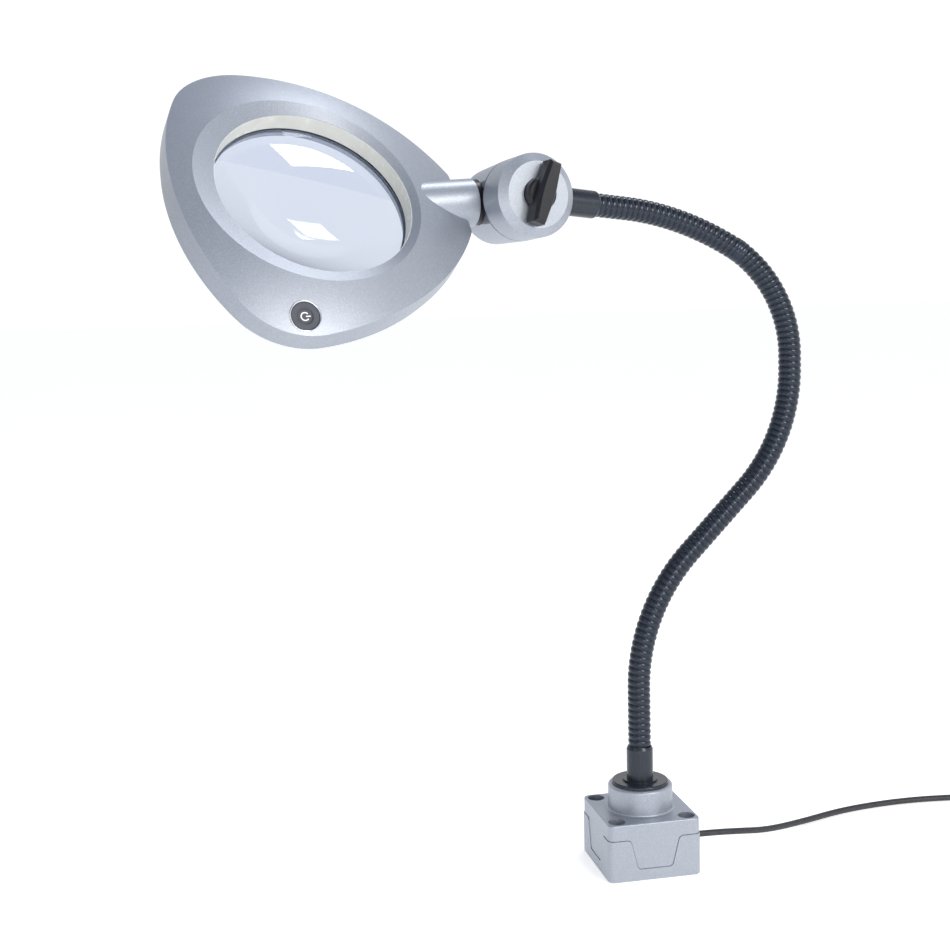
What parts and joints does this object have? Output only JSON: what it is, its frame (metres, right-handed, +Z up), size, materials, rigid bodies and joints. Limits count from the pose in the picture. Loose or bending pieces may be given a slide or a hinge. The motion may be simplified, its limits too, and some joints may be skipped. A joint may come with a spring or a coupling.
{
  "type": "magnifying lamp",
  "caption": "Bench magnifying lamp: square bolt-down base, black gooseneck arm, clamped tilt joint with wing knob, and a domed rounded-triangle head with a round lens and push button.",
  "frame": {"origin": "centre of the base's underside, on the axis of the neck's foot", "axes": "+Z up along the neck's foot; -Y out of the base's front, the side the lens faces; +X out of the base's side that the cable leaves"},
  "size_m": [0.5923, 0.2247, 0.4865],
  "materials": {
    "shell_metal": "satin silver-grey powder coat on die-cast aluminium",
    "black_metal": "satin black",
    "neck_black": "satin black coated spiral",
    "black_plastic": "fine matt black",
    "white_plastic": "matt",
    "black_rubber": "matt black",
    "cable_black": "smooth black sleeve",
    "screw_steel": "zinc plated",
    "brass_insert": "turned",
    "lens_glass": "polished clear",
    "board": "white solder mask",
    "led_yellow": "clear over phosphor",
    "diffuser": "opal",
    "bright_rim": "bright",
    "button_grey": "dark grey, satin"
  },
  "bodies": {
    "base": {"base_housing": "shell_metal", "base_cover": "shell_metal", "base_cover_screws": "screw_steel", "cable_grommet": "black_rubber", "cable_clip": "black_plastic", "terminal_block": "white_plastic", "neck_flange": "black_plastic", "lower_ferrule": "black_metal", "ferrule_lock_nut": "screw_steel", "gooseneck_foot": "neck_black", "gooseneck_lower_bend": "neck_black", "neck_wire_lower": "cable_black", "cable_tail": "cable_black", "cable_lead": "cable_black", "cable_coil": "cable_black", "cable_end": "cable_black", "cable_plug": "cable_black", "plug_barrel": "screw_steel"},
    "neck_middle": {"gooseneck_middle": "neck_black", "gooseneck_upper_bend": "neck_black", "neck_wire_upper": "cable_black"},
    "neck_top": {"gooseneck_top": "neck_black", "upper_ferrule": "black_metal", "joint_front_housing": "shell_metal", "friction_disc": "black_plastic", "spring_washer": "screw_steel"},
    "knob": {"wing_knob": "black_plastic", "knob_insert": "brass_insert"},
    "tilt": {"joint_rear_housing": "shell_metal", "clamp_bolt": "screw_steel", "swivel_ring": "black_plastic", "swivel_spindle": "screw_steel"},
    "head": {"head_shell": "shell_metal", "head_back_cover": "shell_metal", "head_screws": "screw_steel", "lens": "lens_glass", "lens_gasket": "black_rubber", "lens_retainer": "shell_metal", "led_board": "board", "leds": "led_yellow", "light_diffuser": "diffuser", "button_bezel": "bright_rim", "push_switch": "black_plastic", "control_board": "board", "spindle_clip": "screw_steel"},
    "button": {"power_button": "button_grey"}
  },
  "joints": [
    {"name": "neck_lean", "type": "hinge", "parent": "base", "child": "neck_middle", "pos_m": [0, 0, 0.093], "axis": [-0.1315, 0.9913, 0], "range_deg": [-20, 20], "deforming": ["gooseneck_lower_bend", "neck_wire_lower"]},
    {"name": "neck_raise", "type": "hinge", "parent": "neck_middle", "child": "neck_top", "pos_m": [0.0546, 0.00724, 0.21301], "axis": [-0.1315, 0.9913, 0], "range_deg": [-20, 20], "deforming": ["gooseneck_upper_bend", "neck_wire_upper"]},
    {"name": "head_tilt", "type": "hinge", "parent": "neck_top", "child": "tilt", "pos_m": [-0.06676, 0.00906, 0.41171], "axis": [0.2337, -0.9698, 0.0694], "range_deg": [-50, 50]},
    {"name": "head_swivel", "type": "hinge", "parent": "tilt", "child": "head", "pos_m": [-0.09083, 0.01991, 0.41102], "axis": [-0.9698, -0.2376, -0.0557], "range_deg": [-90, 90]},
    {"name": "knob_turn", "type": "hinge", "parent": "neck_top", "child": "knob", "pos_m": [-0.06676, 0.00906, 0.41171], "axis": [0.2337, -0.9698, 0.0694], "range_deg": [-20, 160]},
    {"name": "button_press", "type": "slide", "parent": "head", "child": "button", "axis": [-0.2005, 0.9163, -0.3468], "range_m": [0, 0.0005], "stiffness_N_per_m": 2500, "springref_m": -0.0002}
  ]
}
